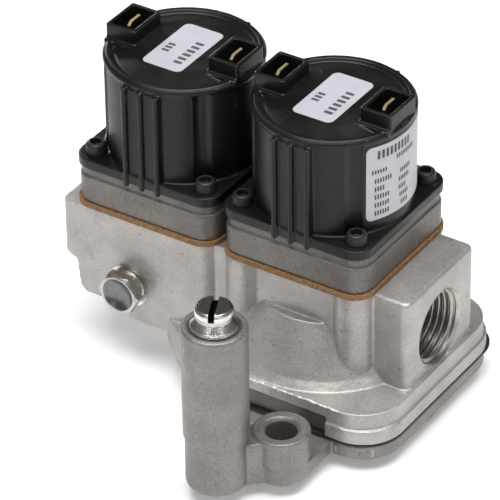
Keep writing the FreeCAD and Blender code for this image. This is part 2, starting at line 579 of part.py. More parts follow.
def bottom_cover():
    plate = prism(flange_corners(0.4, JOINT_LEFT + 0.5), PLATE_BOT, PLATE_TOP)
    bulge = cone(BULGE_R, BULGE_R + 1.5, BULGE_Z, PLATE_BOT, HOUSING_X, HOUSING_Y)
    arm = slab(29.5, 43.4, RING_Y, -30.0, PLATE_BOT, PLATE_TOP, 0.5)
    web = web_slab(WEB_HALF, PLATE_BOT, WEB_TOP)
    cover = fuse([plate, bulge, arm, web] + tower_outside() + vent_boss())
    to_ring = (RING_X - TOWER_X, RING_Y - TOWER_Y, 0)
    to_housing = (HOUSING_X - RING_X, HOUSING_Y - RING_Y, 0)
    mouth = 0.9
    cuts = [cyl(21.6, BULGE_Z + 1.8, -30, HOUSING_X, HOUSING_Y),
            cyl(TOWER_BORE + 1.3, TOWER_TOP - 1.0, TOWER_TOP + 1, TOWER_X, TOWER_Y),
            cyl(TOWER_BORE, TOWER_FLOOR, TOWER_TOP, TOWER_X, TOWER_Y),
            cyl(1.4, -40.0, TOWER_FLOOR + 1, TOWER_X, TOWER_Y),
            cyl(3.2, -37.6, TOWER_FLOOR - 1.6, TOWER_X, TOWER_Y),
            cyl(RING_BORE, RING_FLOOR + VENT_DISC_T, RING_TOP + 1, RING_X, RING_Y),
            cyl(VENT_DISC_R, RING_FLOOR, RING_TOP, RING_X, RING_Y),
            cone(RING_BORE, RING_BORE + mouth, RING_TOP - mouth, RING_TOP, RING_X, RING_Y),
            rod(1.1, (TOWER_X, TOWER_Y, DRILL_Z), to_ring, WEB_LENGTH),
            rod(1.1, (RING_X, RING_Y, DRILL_Z), to_housing, 26.0),
            rod(1.0, (TOWER_X, TOWER_Y, -33.5), to_ring, WEB_LENGTH)]
    return cut_all(cover, cuts + drill(LOWER_SCREWS, CLEAR_R, -60, -30)).removeSplitter()


def lower_screws():
    return Part.makeCompound([pan_screw(x, y, PLATE_BOT, 10.8, upright=False) for x, y in LOWER_SCREWS])


# ---- regulator, inside the tower ----
def regulator_cap():
    """Slotted cap: thread in the tower, flange on the washer, plain neck above."""
    edge = 0.7
    cap = fuse([cyl(CAP_THREAD_R, 2.0, CAP_SEAT, TOWER_X, TOWER_Y),
                cyl(CAP_FLANGE_R, CAP_SEAT, CAP_RIM, TOWER_X, TOWER_Y),
                cone(CAP_FLANGE_R, CAP_NECK_R, CAP_RIM, CAP_FLARE, TOWER_X, TOWER_Y),
                cyl(CAP_NECK_R, CAP_FLARE, CAP_HEAD, TOWER_X, TOWER_Y),
                cyl(CAP_R, CAP_HEAD, CAP_TOP - edge, TOWER_X, TOWER_Y),
                cone(CAP_R, CAP_R - edge, CAP_TOP - edge, CAP_TOP, TOWER_X, TOWER_Y)])
    slot = box(-CAP_SLOT / 2, CAP_SLOT / 2, -8, 8, CAP_TOP - CAP_SLOT_DEPTH, CAP_TOP + 1)
    slot.rotate(Vector(0, 0, 0), Vector(0, 0, 1), CAP_SLOT_TURN)
    slot.translate(Vector(TOWER_X, TOWER_Y, 0))
    return cut_all(cap, [slot, cyl(3.6, 0, 6.0, TOWER_X, TOWER_Y)])


def cap_washer():
    return ring(CAP_FLANGE_R + 0.1, TOWER_BORE, TOWER_TOP - 1.0, CAP_SEAT, TOWER_X, TOWER_Y)


def adjusting_screw():
    screw = cyl(ADJUST_R, ADJUST_Z0, ADJUST_Z1, TOWER_X, TOWER_Y)
    slot = box(TOWER_X - 0.6, TOWER_X + 0.6, TOWER_Y - 8, TOWER_Y + 8, ADJUST_Z1 - 2.0, ADJUST_Z1 + 1)
    return screw.cut(slot)


def spring_seat():
    return fuse([cyl(SEAT_DISC_R, SPRING_Z1, ADJUST_Z0, TOWER_X, TOWER_Y),
                 cyl(GUIDE_R, SPRING_Z1 - 2.0, SPRING_Z1, TOWER_X, TOWER_Y)])


def regulator_spring():
    return coil_spring(4.0, 0.5, SPRING_Z0, SPRING_Z1, 7, TOWER_X, TOWER_Y)


def regulator_valve():
    return fuse([cyl(SEAT_DISC_R, VALVE_DISC_Z, SPRING_Z0, TOWER_X, TOWER_Y),
                 cyl(GUIDE_R, SPRING_Z0, SPRING_Z0 + 2.0, TOWER_X, TOWER_Y)])


def regulator_pad():
    return cyl(SEAT_DISC_R - 0.6, PAD_Z, VALVE_DISC_Z, TOWER_X, TOWER_Y)


def vent_disc():
    """Disc with a fine hole that damps the regulator's vent."""
    return ring(VENT_DISC_R, 0.6, RING_FLOOR, RING_FLOOR + VENT_DISC_T, RING_X, RING_Y)


def solenoid(name, cx):
    emit("bonnet_gasket_" + name, bonnet_gasket(cx))
    emit("bonnet_" + name, bonnet(cx))
    emit("core_tube_" + name, core_tube(cx))
    emit("pole_piece_" + name, pole_piece(cx))
    emit("plunger_" + name, plunger(cx))
    emit("plunger_seal_" + name, plunger_seal(cx))
    emit("plunger_spring_" + name, plunger_spring(cx))
    emit("bobbin_" + name, bobbin(cx))
    emit("winding_" + name, winding(cx))
    emit("flux_frame_" + name, flux_frame(cx))
    emit("flux_washer_" + name, flux_washer(cx))
    emit("terminal_line_" + name, terminal(cx, -1))
    emit("terminal_common_" + name, terminal(cx, 1))
    emit("coil_cover_" + name, coil_cover(cx))
    emit("bonnet_screws_" + name, bonnet_screws(cx))
    emit("top_label_" + name, top_label(cx))


def main():
    os.makedirs("parts", exist_ok=True)
    emit("main_body", main_body())
    emit("inlet_screen", inlet_screen())
    emit("tap_plug", tap_plug())
    emit("tap_plug_washer", tap_plug_washer())
    for name, cx in SIDES:
        solenoid(name, cx)
    emit("rating_label", rating_label(HALF))
    emit("diaphragm", diaphragm())
    emit("paper_gasket", paper_gasket())
    emit("main_valve", main_valve())
    emit("main_valve_seal", main_valve_seal())
    emit("diaphragm_plate_upper", diaphragm_plate(JOINT_Z))
    emit("diaphragm_plate_lower", diaphragm_plate(SHEET_Z - BACKING_T))
    emit("stem_nut", stem_nut())
    emit("main_spring", main_spring())
    emit("spring_cup", spring_cup())
    emit("bottom_cover", bottom_cover())
    emit("lower_screws", lower_screws())
    emit("regulator_cap", regulator_cap())
    emit("cap_washer", cap_washer())
    emit("adjusting_screw", adjusting_screw())
    emit("spring_seat", spring_seat())
    emit("regulator_spring", regulator_spring())
    emit("regulator_valve", regulator_valve())
    emit("regulator_pad", regulator_pad())
    emit("vent_disc", vent_disc())


main()
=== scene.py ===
import json
from math import cos, hypot, pi, radians, sin

import bmesh
import bpy
import numpy as np
from mathutils import Matrix, Vector


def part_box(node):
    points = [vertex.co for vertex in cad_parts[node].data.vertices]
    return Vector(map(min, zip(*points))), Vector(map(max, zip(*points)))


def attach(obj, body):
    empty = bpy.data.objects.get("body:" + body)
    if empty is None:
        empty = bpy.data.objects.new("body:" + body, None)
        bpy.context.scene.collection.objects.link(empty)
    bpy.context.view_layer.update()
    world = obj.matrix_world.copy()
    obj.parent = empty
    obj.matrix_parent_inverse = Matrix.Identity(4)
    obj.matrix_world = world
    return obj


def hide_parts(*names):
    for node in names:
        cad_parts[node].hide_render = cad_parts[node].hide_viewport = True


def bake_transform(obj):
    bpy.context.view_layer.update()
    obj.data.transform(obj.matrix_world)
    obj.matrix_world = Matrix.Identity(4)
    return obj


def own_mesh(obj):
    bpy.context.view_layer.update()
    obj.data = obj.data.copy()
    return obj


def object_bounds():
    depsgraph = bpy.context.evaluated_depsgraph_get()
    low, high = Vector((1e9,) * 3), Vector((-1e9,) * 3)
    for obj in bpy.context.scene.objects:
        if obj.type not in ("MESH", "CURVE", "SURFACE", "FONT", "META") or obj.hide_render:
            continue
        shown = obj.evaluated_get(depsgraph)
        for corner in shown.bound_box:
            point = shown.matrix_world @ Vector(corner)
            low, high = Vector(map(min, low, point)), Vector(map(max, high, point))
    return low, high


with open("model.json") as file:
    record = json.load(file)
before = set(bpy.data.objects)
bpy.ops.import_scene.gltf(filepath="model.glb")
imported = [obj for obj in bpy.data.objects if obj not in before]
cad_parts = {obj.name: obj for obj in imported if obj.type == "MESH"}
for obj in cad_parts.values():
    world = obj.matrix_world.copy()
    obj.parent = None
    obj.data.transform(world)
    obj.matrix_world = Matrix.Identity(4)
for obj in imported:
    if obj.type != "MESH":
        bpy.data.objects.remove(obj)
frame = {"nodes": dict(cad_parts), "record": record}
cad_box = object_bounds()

# Gas valve with two solenoid coils.  Lengths are metres in the frame of the CAD model; MM turns
# millimetres into them.  Most positions start from the box of a CAD node; the offsets from it, the
# label rows, the lights and the camera were chosen to match the photo.

MM = 0.001
NODES = frame["nodes"]
SIDES = ("inlet", "outlet")
BODY = "valve_body"
IN_FACE, OUT_FACE = -103 * MM, 2 * MM           # planes of the two port mouths
PORT_CREST, PORT_ROOT, PORT_PITCH = 9.3 * MM, 10.4 * MM, 1.814 * MM
MOUTH_R, MOUTH_DEPTH = 10.9 * MM, 1.7 * MM
PLUG_CREST, PLUG_ROOT, PLUG_PITCH = 5.1 * MM, 4.6 * MM, 0.941 * MM
BLADE_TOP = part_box("terminal_line_inlet")[1].z
CAP_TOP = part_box("regulator_cap")[1].z
PLUG_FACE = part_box("tap_plug")[0].y


def centre(node):
    low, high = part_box(node)
    return (low + high) / 2


def body_of(node):
    for body, members in frame["record"]["behaviour"]["bodies"].items():
        if node in members:
            return body
    raise KeyError(node)


# ---- material makers ----
class Material:
    """A node material built step by step; each method adds one layer of detail."""

    def __init__(self, name, metallic=0.0, specular=0.5):
        self.material = bpy.data.materials.new(name)
        self.material.use_nodes = True
        self.tree = self.material.node_tree
        self.shader = self.tree.nodes["Principled BSDF"]
        self.shader.inputs["Metallic"].default_value = metallic
        self.shader.inputs["Specular IOR Level"].default_value = specular
        self.place = self.tree.nodes.new("ShaderNodeTexCoord").outputs["Object"]
        self.height = None

    def link(self, output, target):
        self.tree.links.new(output, target)

    def vector_math(self, operation, first, second=None, result="Vector"):
        node = self.tree.nodes.new("ShaderNodeVectorMath")
        node.operation = operation
        self.link(first, node.inputs[0])
        if second is not None:
            node.inputs[1].default_value = second
        return node.outputs[result]

    def lathe_place(self, middle, axis):
        """Distance from a turning axis, and place along it, so that noise makes tool marks."""
        offset = self.vector_math("SUBTRACT", self.place, tuple(middle))
        across = self.vector_math("MULTIPLY", offset, tuple(1 - abs(part) for part in axis))
        node = self.tree.nodes.new("ShaderNodeCombineXYZ")
        self.link(self.vector_math("LENGTH", across, result="Value"), node.inputs["X"])
        self.link(self.vector_math("DOT_PRODUCT", offset, tuple(axis), "Value"), node.inputs["Y"])
        return node.outputs["Vector"]

    def between(self, axis, low, high, soft):
        """1 between two planes of the object, 0 outside, with soft borders."""
        node = self.tree.nodes.new("ShaderNodeSeparateXYZ")
        self.link(self.place, node.inputs["Vector"])
        place = node.outputs[axis]
        rise = self.remap(place, low - soft, low + soft, 0.0, 1.0)
        return self.product(rise, self.remap(place, high - soft, high + soft, 1.0, 0.0))

    def product(self, first, second):
        node = self.tree.nodes.new("ShaderNodeMath")
        node.operation = "MULTIPLY"
        self.link(first, node.inputs[0])
        self.link(second, node.inputs[1])
        return node.outputs["Value"]

    def noise(self, size, detail=3.0, rough=0.55, stretch=None, place=None):
        """Noise whose lumps are about size metres across."""
        node = self.tree.nodes.new("ShaderNodeTexNoise")
        node.inputs["Scale"].default_value = 1.0 / size
        node.inputs["Detail"].default_value = detail
        node.inputs["Roughness"].default_value = rough
        if stretch is None:
            self.link(place or self.place, node.inputs["Vector"])
        else:
            squash = self.tree.nodes.new("ShaderNodeMapping")
            squash.inputs["Scale"].default_value = stretch
            self.link(self.place, squash.inputs["Vector"])
            self.link(squash.outputs["Vector"], node.inputs["Vector"])
        return node.outputs["Fac"]

    def remap(self, value, low, high, to_low, to_high):
        node = self.tree.nodes.new("ShaderNodeMapRange")
        for name, number in (("From Min", low), ("From Max", high), ("To Min", to_low), ("To Max", to_high)):
            node.inputs[name].default_value = number
        self.link(value, node.inputs["Value"])
        return node.outputs["Result"]

    def mix(self, factor, first, second):
        node = self.tree.nodes.new("ShaderNodeMix")
        node.data_type = "RGBA"
        self.link(factor, node.inputs["Factor"])
        for socket, colour in ((node.inputs[6], first), (node.inputs[7], second)):
            if isinstance(colour, tuple):
                socket.default_value = (*colour, 1.0)
            else:
                self.link(colour, socket)
        return node.outputs[2]

    def edges(self, low, high):
        """1 on convex edges, 0 elsewhere: a painted highlight on the castings, worn edges on the mouldings.
        """
        geometry = self.tree.nodes.new("ShaderNodeNewGeometry")
        return self.remap(geometry.outputs["Pointiness"], low, high, 0.0, 1.0)

    def colour(self, value):
        self.link(value, self.shader.inputs["Base Color"])

    def roughness(self, value):
        self.link(value, self.shader.inputs["Roughness"])

    def bump(self, value, depth):
        """Adds a relief depth metres deep to the ones already there."""
        node = self.tree.nodes.new("ShaderNodeBump")
        node.inputs["Distance"].default_value = depth
        node.inputs["Strength"].default_value = 1.0
        self.link(value, node.inputs["Height"])
        if self.height is not None:
            self.link(self.height, node.inputs["Normal"])
        self.height = node.outputs["Normal"]
        self.link(self.height, self.shader.inputs["Normal"])


def cast_metal(name, dark, light, rough=0.42, painted_recess_shade=False, speckle=0.5):
    """Shot-blasted die casting: pinhead grain, cloudy flow marks, pits, painted highlight on edges.

    The flag darkens a band low on the front of the main body: painted shade in the flange recess.
    """
    m = Material(name, metallic=0.55, specular=0.4)
    grain = m.noise(0.42 * MM, detail=4.0, rough=0.65)
    cloud = m.noise(9 * MM, detail=3.0)
    base = m.mix(m.remap(cloud, 0.35, 0.65, 0.0, 1.0), dark, light)
    darkened = m.mix(m.remap(grain, 0.36, 0.54, speckle, 0.0), base, tuple(c * 0.5 for c in dark))
    speck = m.mix(m.remap(grain, 0.54, 0.70, 0.0, speckle), darkened, tuple(min(1.0, c * 1.5) for c in light))
    pits = m.remap(m.noise(1.6 * MM, detail=1.0), 0.70, 0.74, 0.0, 0.5)
    pitted = m.mix(pits, speck, tuple(c * 0.4 for c in dark))
    # Painted shade: a dark band in the recess under the flange lip, low on the front.
    if painted_recess_shade:
        low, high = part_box("main_body")
        front = m.between("Y", low.y - MM, low.y + 2.2 * MM, 0.05 * MM)
        under = m.between("Z", low.z - MM, low.z + 5.6 * MM, 0.1 * MM)
        along = m.between("X", low.x, high.x - 16.5 * MM, 0.4 * MM)
        band = m.product(m.product(front, under), along)
        stain_and_painted_shade = m.product(band, m.remap(cloud, 0.3, 0.7, 0.72, 0.95))
        pitted = m.mix(stain_and_painted_shade, pitted, (0.085, 0.076, 0.068))
    # Convex edges are lightened: a painted highlight.
    m.colour(m.mix(m.edges(0.53, 0.59), pitted, tuple(min(1.0, c * 1.35) for c in light)))
    m.roughness(m.remap(grain, 0.3, 0.7, rough - 0.08, rough + 0.12))
    m.bump(grain, 0.12 * MM * speckle)
    m.bump(m.noise(2.2 * MM, detail=2.0), 0.14 * MM)
    m.bump(cloud, 0.30 * MM)
    return m.material


def moulded(name, colour, pale, rough=0.33):
    """Glass-filled moulding: fine grain, faint flow lines, dust that greys the surface."""
    m = Material(name, specular=0.30)
    grain = m.noise(0.35 * MM, detail=3.0)
    cloud = m.noise(11 * MM, detail=4.0)
    streaks = m.noise(1.2 * MM, detail=3.0, stretch=(1, 1, 0.12))
    dust = m.mix(m.remap(cloud, 0.42, 0.72, 0.0, 0.5), colour, pale)
    drawn = m.mix(m.remap(streaks, 0.5, 0.75, 0.0, 0.35), dust, pale)
    m.colour(m.mix(m.edges(0.52, 0.60), drawn, tuple(c * 2.2 for c in pale)))
    m.roughness(m.remap(cloud, 0.3, 0.7, rough - 0.07, rough + 0.10))
    m.bump(grain, 0.012 * MM)
    m.bump(m.noise(4 * MM, detail=2.0), 0.05 * MM)
    return m.material


def turned(name, colour, rough=0.22, axis_stretch=(1, 1, 30), metallic=1.0):
    """Turned or drawn metal: fine lines round the axis, small stains."""
    m = Material(name, metallic=metallic)
    lines = m.noise(0.9 * MM, detail=3.0, stretch=axis_stretch)
    stain_and_painted_shade = m.noise(2.5 * MM, detail=3.0)
    m.colour(m.mix(m.remap(stain_and_painted_shade, 0.4, 0.7, 0.0, 0.6), colour, tuple(c * 0.72 for c in colour)))
    m.roughness(m.remap(lines, 0.3, 0.7, rough - 0.06, rough + 0.12))
    m.bump(lines, 0.012 * MM)
    return m.material


def tool_marked(name, colour, middle, axis, rough, dished=None, slotted=None):
    """Metal turned about a known axis: the marks ring its faces and sides, with some tarnish.

    dished is the radius and the two ends along Y of a darker hollow, and its colour; slotted is the
    turn, half width, floor and top of a screwdriver slot whose walls get painted shade, and their colour.
    """
    m = Material(name, metallic=1.0)
    rings = m.noise(0.22 * MM, detail=2.0, place=m.lathe_place(middle, axis))
    tarnish = m.noise(1.8 * MM, detail=4.0)
    bare = m.mix(m.remap(tarnish, 0.45, 0.72, 0.0, 0.7), colour, tuple(c * 0.6 for c in colour))
    if dished:
        radius, low, high, darkened = dished
        turned_place = m.tree.nodes.new("ShaderNodeSeparateXYZ")
        m.link(m.lathe_place(middle, axis), turned_place.inputs["Vector"])
        within = m.remap(turned_place.outputs["X"], radius - 0.3 * MM, radius, 1.0, 0.0)
        inside = m.product(within, m.between("Y", low, high, 0.05 * MM))
        bare = m.mix(m.product(inside, m.remap(tarnish, 0.3, 0.7, 0.95, 0.75)), bare, darkened)
    # The slot's walls take the dark colour: painted shade.
    if slotted:
        turn, half, floor, top, darkened = slotted
        offset = m.vector_math("SUBTRACT", m.place, tuple(middle))
        across = m.vector_math("DOT_PRODUCT", offset, (cos(turn), sin(turn), 0.0), "Value")
        near = m.product(m.remap(across, -half - 0.08 * MM, -half, 0.0, 1.0),
                         m.remap(across, half, half + 0.08 * MM, 1.0, 0.0))
        bare = m.mix(m.product(near, m.between("Z", floor, top, 0.04 * MM)), bare, darkened)
    m.colour(bare)
    m.roughness(m.remap(rings, 0.3, 0.7, rough - 0.05, rough + 0.12))
    m.bump(rings, 0.02 * MM)
    m.bump(m.noise(0.8 * MM, detail=2.0), 0.01 * MM)
    return m.material


def blade_metal(name, bright, darkened, top):
    """Stamped blade: bare and bright along its sheared top edge, darker below it as painted shade."""
    m = Material(name, metallic=0.9)
    grain = m.noise(0.5 * MM, detail=3.0)
    edge = m.between("Z", top - 0.30 * MM, top + MM, 0.20 * MM)
    # The blade below its top edge takes the darker colour: painted shade inside the shroud.
    m.colour(m.mix(edge, darkened, bright))
    m.roughness(m.remap(grain, 0.3, 0.7, 0.28, 0.45))
    m.bump(grain, 0.01 * MM)
    return m.material


def sheet_material(name, colour, spotted, rough, fibre):
    """Gasket sheet, rubber, film or ink: fibres or grain of a size in millimetres, with stains."""
    m = Material(name, specular=0.35)
    fibres = m.noise(fibre * MM, detail=4.0)
    stain_and_painted_shade = m.noise(6 * MM, detail=3.0)
    first = m.mix(m.remap(fibres, 0.35, 0.65, 0.0, 0.7), colour, spotted)
    m.colour(m.mix(m.remap(stain_and_painted_shade, 0.45, 0.75, 0.0, 0.5), first, tuple(c * 0.8 for c in colour)))
    m.roughness(m.remap(fibres, 0.3, 0.7, rough - 0.08, rough + 0.08))
    m.bump(fibres, 0.015 * MM)
    return m.material


MATERIALS = {
    # The casting carries a band of painted shade in the flange recess.
    "casting": cast_metal("casting", (0.365, 0.342, 0.324), (0.462, 0.435, 0.414),
                          painted_recess_shade=True, speckle=0.30),
    "cover_casting": cast_metal("cover_casting", (0.208, 0.192, 0.182), (0.272, 0.252, 0.240), speckle=0.48),
    "dark_casting": cast_metal("dark_casting", (0.150, 0.137, 0.126), (0.190, 0.174, 0.160)),
    "cover_plastic": moulded("cover_plastic", (0.0058, 0.0058, 0.0050), (0.0145, 0.0140, 0.0125)),
    "bobbin": moulded("bobbin", (0.56, 0.52, 0.42), (0.66, 0.62, 0.52), rough=0.5),
    "copper": turned("copper", (0.62, 0.26, 0.12), rough=0.35, axis_stretch=(1, 1, 12)),
    # The terminal's second colour is painted shade for the blade below its top edge.
    "terminal": blade_metal("terminal", (1.0, 0.80, 0.42), (0.085, 0.062, 0.030), BLADE_TOP),
    "nickel": turned("nickel", (0.66, 0.64, 0.61), rough=0.18),
    "bright_steel": turned("bright_steel", (0.56, 0.56, 0.56)),
    "zinc_steel": turned("zinc_steel", (0.55, 0.57, 0.60), rough=0.3, axis_stretch=(1, 1, 1)),
    "spring_steel": turned("spring_steel", (0.42, 0.42, 0.43), rough=0.3, axis_stretch=(1, 1, 1)),
    "black_steel": turned("black_steel", (0.022, 0.021, 0.019), rough=0.42, axis_stretch=(1, 1, 1),
                          metallic=0.3),
    "stem_alloy": turned("stem_alloy", (0.60, 0.60, 0.61)),
    "rubber": sheet_material("rubber", (0.014, 0.014, 0.014), (0.022, 0.022, 0.021), rough=0.6, fibre=0.8),
    "fibre": sheet_material("fibre", (0.31, 0.175, 0.080), (0.085, 0.046, 0.022), rough=0.8, fibre=0.8),
    "label": sheet_material("label", (0.57, 0.55, 0.60), (0.50, 0.48, 0.53), rough=0.5, fibre=0.25),
}
# The top labels take a darker copy of the label colour: painted shade.
TOP_LABEL_SHADED_COPY = sheet_material("top_label_shaded_copy", (0.47, 0.455, 0.50), (0.42, 0.405, 0.45), rough=0.5, fibre=0.25)
PRINT = sheet_material("print_ink", (0.06, 0.057, 0.066), (0.11, 0.105, 0.12), rough=0.55, fibre=0.25)
# The cap's last colour is painted shade on the walls of its slot.
CAP_METAL = tool_marked("cap_nickel", (0.70, 0.67, 0.64), centre("regulator_cap"), (0, 0, 1), rough=0.20,
                        slotted=(radians(24.5), 0.76 * MM, CAP_TOP - 2.0 * MM, CAP_TOP - 0.15 * MM,
                                 (0.03, 0.029, 0.028)))
PLUG_METAL = tool_marked("plug_steel", (0.50, 0.47, 0.44), centre("tap_plug"), (0, 1, 0), rough=0.26,
                         dished=(4.9 * MM, PLUG_FACE + 0.12 * MM, PLUG_FACE + 1.9 * MM,
                                 (0.115, 0.125, 0.135)))
# A lighter copy of the casting for the flange bead: a painted highlight.
FLASH_HIGHLIGHT_METAL = cast_metal("flash_metal_painted_highlight", (0.50, 0.47, 0.45), (0.66, 0.63, 0.61), rough=0.3)
PORT_METAL = tool_marked("port_threads", (0.46, 0.43, 0.40), (0, 0, 0), (1, 0, 0), rough=0.3)


def slot_of(node):
    for entry in frame["record"]["subparts"]:
        if entry["node"] == node:
            return entry["material_slot"]
    raise KeyError(node)


def finish_node(node):
    """A CAD node that stays keeps its mesh and gets the finish of its slot."""
    mesh = NODES[node].data
    mesh.materials.clear()
    mesh.materials.append(MATERIALS[slot_of(node)])


# ---- mesh makers ----
def mesh_from(shape, name):
    """Turns a bmesh into a mesh, and frees it."""
    mesh = bpy.data.meshes.new(name)
    shape.to_mesh(mesh)
    shape.free()
    return mesh


def add_piece(name, mesh, material, body=BODY, smooth=True):
    piece = bpy.data.objects.new(name, mesh)
    bpy.context.scene.collection.objects.link(piece)
    mesh.materials.clear()
    mesh.materials.append(material)
    if smooth:
        mesh.shade_smooth()
    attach(piece, body)
    return piece


def baked(piece):
    """The piece's mesh with its modifiers applied."""
    graph = bpy.context.evaluated_depsgraph_get()
    mesh = bpy.data.meshes.new_from_object(piece.evaluated_get(graph))
    mesh.name = piece.name
    return mesh


def welded(node):
    """A copy of a CAD node's mesh in which faces share their corners."""
    mesh = NODES[node].data.copy()
    shape = bmesh.new()
    shape.from_mesh(mesh)
    bmesh.ops.remove_doubles(shape, verts=shape.verts, dist=1e-6)
    shape.to_mesh(mesh)
    shape.free()
    return mesh


def cast_copy(node, name, voxel, smoothing, most_faces=95000, cutters=(), fills=(), material=None):
    """The CAD node with the soft edges and fillets of a casting, moulding or pressing."""
    mesh = welded(node)
    if fills:
        join_into(mesh, fills)
    draft = bpy.data.objects.new(name + "_draft", mesh)
    bpy.context.scene.collection.objects.link(draft)
    for cutter in cutters:
        cut = draft.modifiers.new("cut", "BOOLEAN")
        cut.operation = "DIFFERENCE"
        cut.object = cutter
        cut.solver = "EXACT"
    remesh = draft.modifiers.new("remesh", "REMESH")
    remesh.mode = "VOXEL"
    remesh.voxel_size = voxel
    soften = draft.modifiers.new("soften", "SMOOTH")
    soften.factor = 0.5
    soften.iterations = smoothing
    solid = baked(draft)
    if len(solid.polygons) > most_faces:
        thin = draft.modifiers.new("thin", "DECIMATE")
        thin.ratio = most_faces / len(solid.polygons)
        bpy.data.meshes.remove(solid)
        solid = baked(draft)
    bpy.data.objects.remove(draft)
    for cutter in cutters:
        bpy.data.objects.remove(cutter)
    solid.name = name
    slot = slot_of(node)
    piece = add_piece(name, solid, material or MATERIALS[slot], body_of(node))
    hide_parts(node)
    REPLACED.add(node)
    return piece


def join_into(mesh, fills):
    """Adds closed shapes that the remesh then makes one with the casting."""
    whole = bmesh.new()
    whole.from_mesh(mesh)
    for fill in fills:
        part = mesh_from(fill, "fill")
        whole.from_mesh(part)
        bpy.data.meshes.remove(part)
    whole.to_mesh(mesh)
    whole.free()


def cutter(name, shape):
    """A shape that cast_copy cuts away, and then removes."""
    piece = bpy.data.objects.new(name, mesh_from(shape, name))
    bpy.context.scene.collection.objects.link(piece)
    piece.hide_render = True
    return piece


def rod_cutter(name, radius, start, end):
    """Cylinder between two points."""
    along = end - start
    turn = along.to_track_quat("Z", "Y").to_matrix().to_4x4()
    shape = bmesh.new()
    bmesh.ops.create_cone(shape, cap_ends=True, segments=128, radius1=radius, radius2=radius,
                          depth=along.length, matrix=Matrix.Translation((start + end) / 2) @ turn)
    return cutter(name, shape)


def block_cutter(name, middle, size, turn=0.0):
    """Block turned about an upright axis through its middle."""
    shape = bmesh.new()
    place = Matrix.Translation(middle) @ Matrix.Rotation(turn, 4, "Z") @ Matrix.Diagonal((*size, 1.0))
    bmesh.ops.create_cube(shape, size=1.0, matrix=place)
    return cutter(name, shape)


def thread_depth(turn):
    """0 on the crest and 1 in the root of a thread, for a place given in turns."""
    slope = abs(turn % 1.0 - 0.5) * 2
    return min(1.0, max(0.0, 1.15 - slope * 1.3))


def thread_tube(name, start, along, length, crest, root, pitch, plain, material, body, mouth=None):
    """Closed tube with a thread on one side and a plain wall on the other.

    The thread is left-handed, which a real pipe thread is not.  mouth widens its first turns.
    """
    around, per_pitch = 96, 12
    rings = int(length / pitch * per_pitch)
    across = along.orthogonal().normalized()
    other = along.cross(across)
    shape = bmesh.new()
    walls = []
    for threaded in (True, False):
        wall = []
        for i in range(rings + 1):
            deep = length * i / rings
            row = []
            for j in range(around):
                angle = 2 * pi * j / around
                radius = plain
                if threaded:
                    radius = crest + (root - crest) * thread_depth(deep / pitch + j / around)
                    if mouth is not None:
                        radius = max(radius, mouth - (mouth - crest) * deep / MOUTH_DEPTH)
                spoke = across * cos(angle) + other * sin(angle)
                row.append(shape.verts.new(start + along * deep + spoke * radius))
            wall.append(row)
        walls.append(wall)
    for wall in walls:
        for i in range(rings):
            for j in range(around):
                k = (j + 1) % around
                shape.faces.new((wall[i][j], wall[i][k], wall[i + 1][k], wall[i + 1][j]))
    for end in (0, rings):
        for j in range(around):
            k = (j + 1) % around
            shape.faces.new((walls[0][end][j], walls[0][end][k], walls[1][end][k], walls[1][end][j]))
    bmesh.ops.recalc_face_normals(shape, faces=shape.faces)
    return add_piece(name, mesh_from(shape, name), material, body)


def film(shape, width, height, corner, place, low, high, columns, rows):
    """Adds a thin sheet with rounded corners; place(s, t, lift) puts its points in space."""
    layers = []
    for lift in (low, high):
        layer = []
        for i in range(columns + 1):
            line = []
            for j in range(rows + 1):
                s, t = width * (i / columns - 0.5), height * (j / rows - 0.5)
                over_s, over_t = abs(s) - width / 2 + corner, abs(t) - height / 2 + corner
                if over_s > 0 and over_t > 0:
                    pull = max(over_s, over_t) / hypot(over_s, over_t)
                    s = (abs(s) - over_s * (1 - pull)) * (1 if s > 0 else -1)
                    t = (abs(t) - over_t * (1 - pull)) * (1 if t > 0 else -1)
                line.append(shape.verts.new(place(s, t, lift)))
            layer.append(line)
        layers.append(layer)
    under, over = layers
    for i in range(columns):
        for j in range(rows):
            shape.faces.new((over[i][j], over[i + 1][j], over[i + 1][j + 1], over[i][j + 1]))
            shape.faces.new((under[i][j], under[i][j + 1], under[i + 1][j + 1], under[i + 1][j]))
    for i in range(columns):
        for j, flip in ((0, False), (rows, True)):
            side = [under[i][j], under[i + 1][j], over[i + 1][j], over[i][j]]
            shape.faces.new(side[::-1] if flip else side)
    for j in range(rows):
        for i, flip in ((0, True), (columns, False)):
            side = [under[i][j], under[i][j + 1], over[i][j + 1], over[i][j]]
            shape.faces.new(side[::-1] if flip else side)


def film_piece(name, shape, material):
    bmesh.ops.recalc_face_normals(shape, faces=shape.faces)
    return add_piece(name, mesh_from(shape, name), material, smooth=False)


# ---- castings and mouldings ----
REPLACED = set()


def dome_shoulder():
    """Sloping shoulder between the diaphragm housing's rim and the walls above it."""
    axis = centre("main_valve")
    body_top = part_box("main_body")[1].z
    foot, top = body_top - 12.4 * MM, body_top - 8.6 * MM
    foot_radius, top_radius = 19.1 * MM, 15.2 * MM
    shape = bmesh.new()
    bmesh.ops.create_cone(shape, cap_ends=True, segments=128, radius1=foot_radius, radius2=top_radius,
                          depth=top - foot, matrix=Matrix.Translation((axis.x, axis.y, (foot + top) / 2)))
    return shape


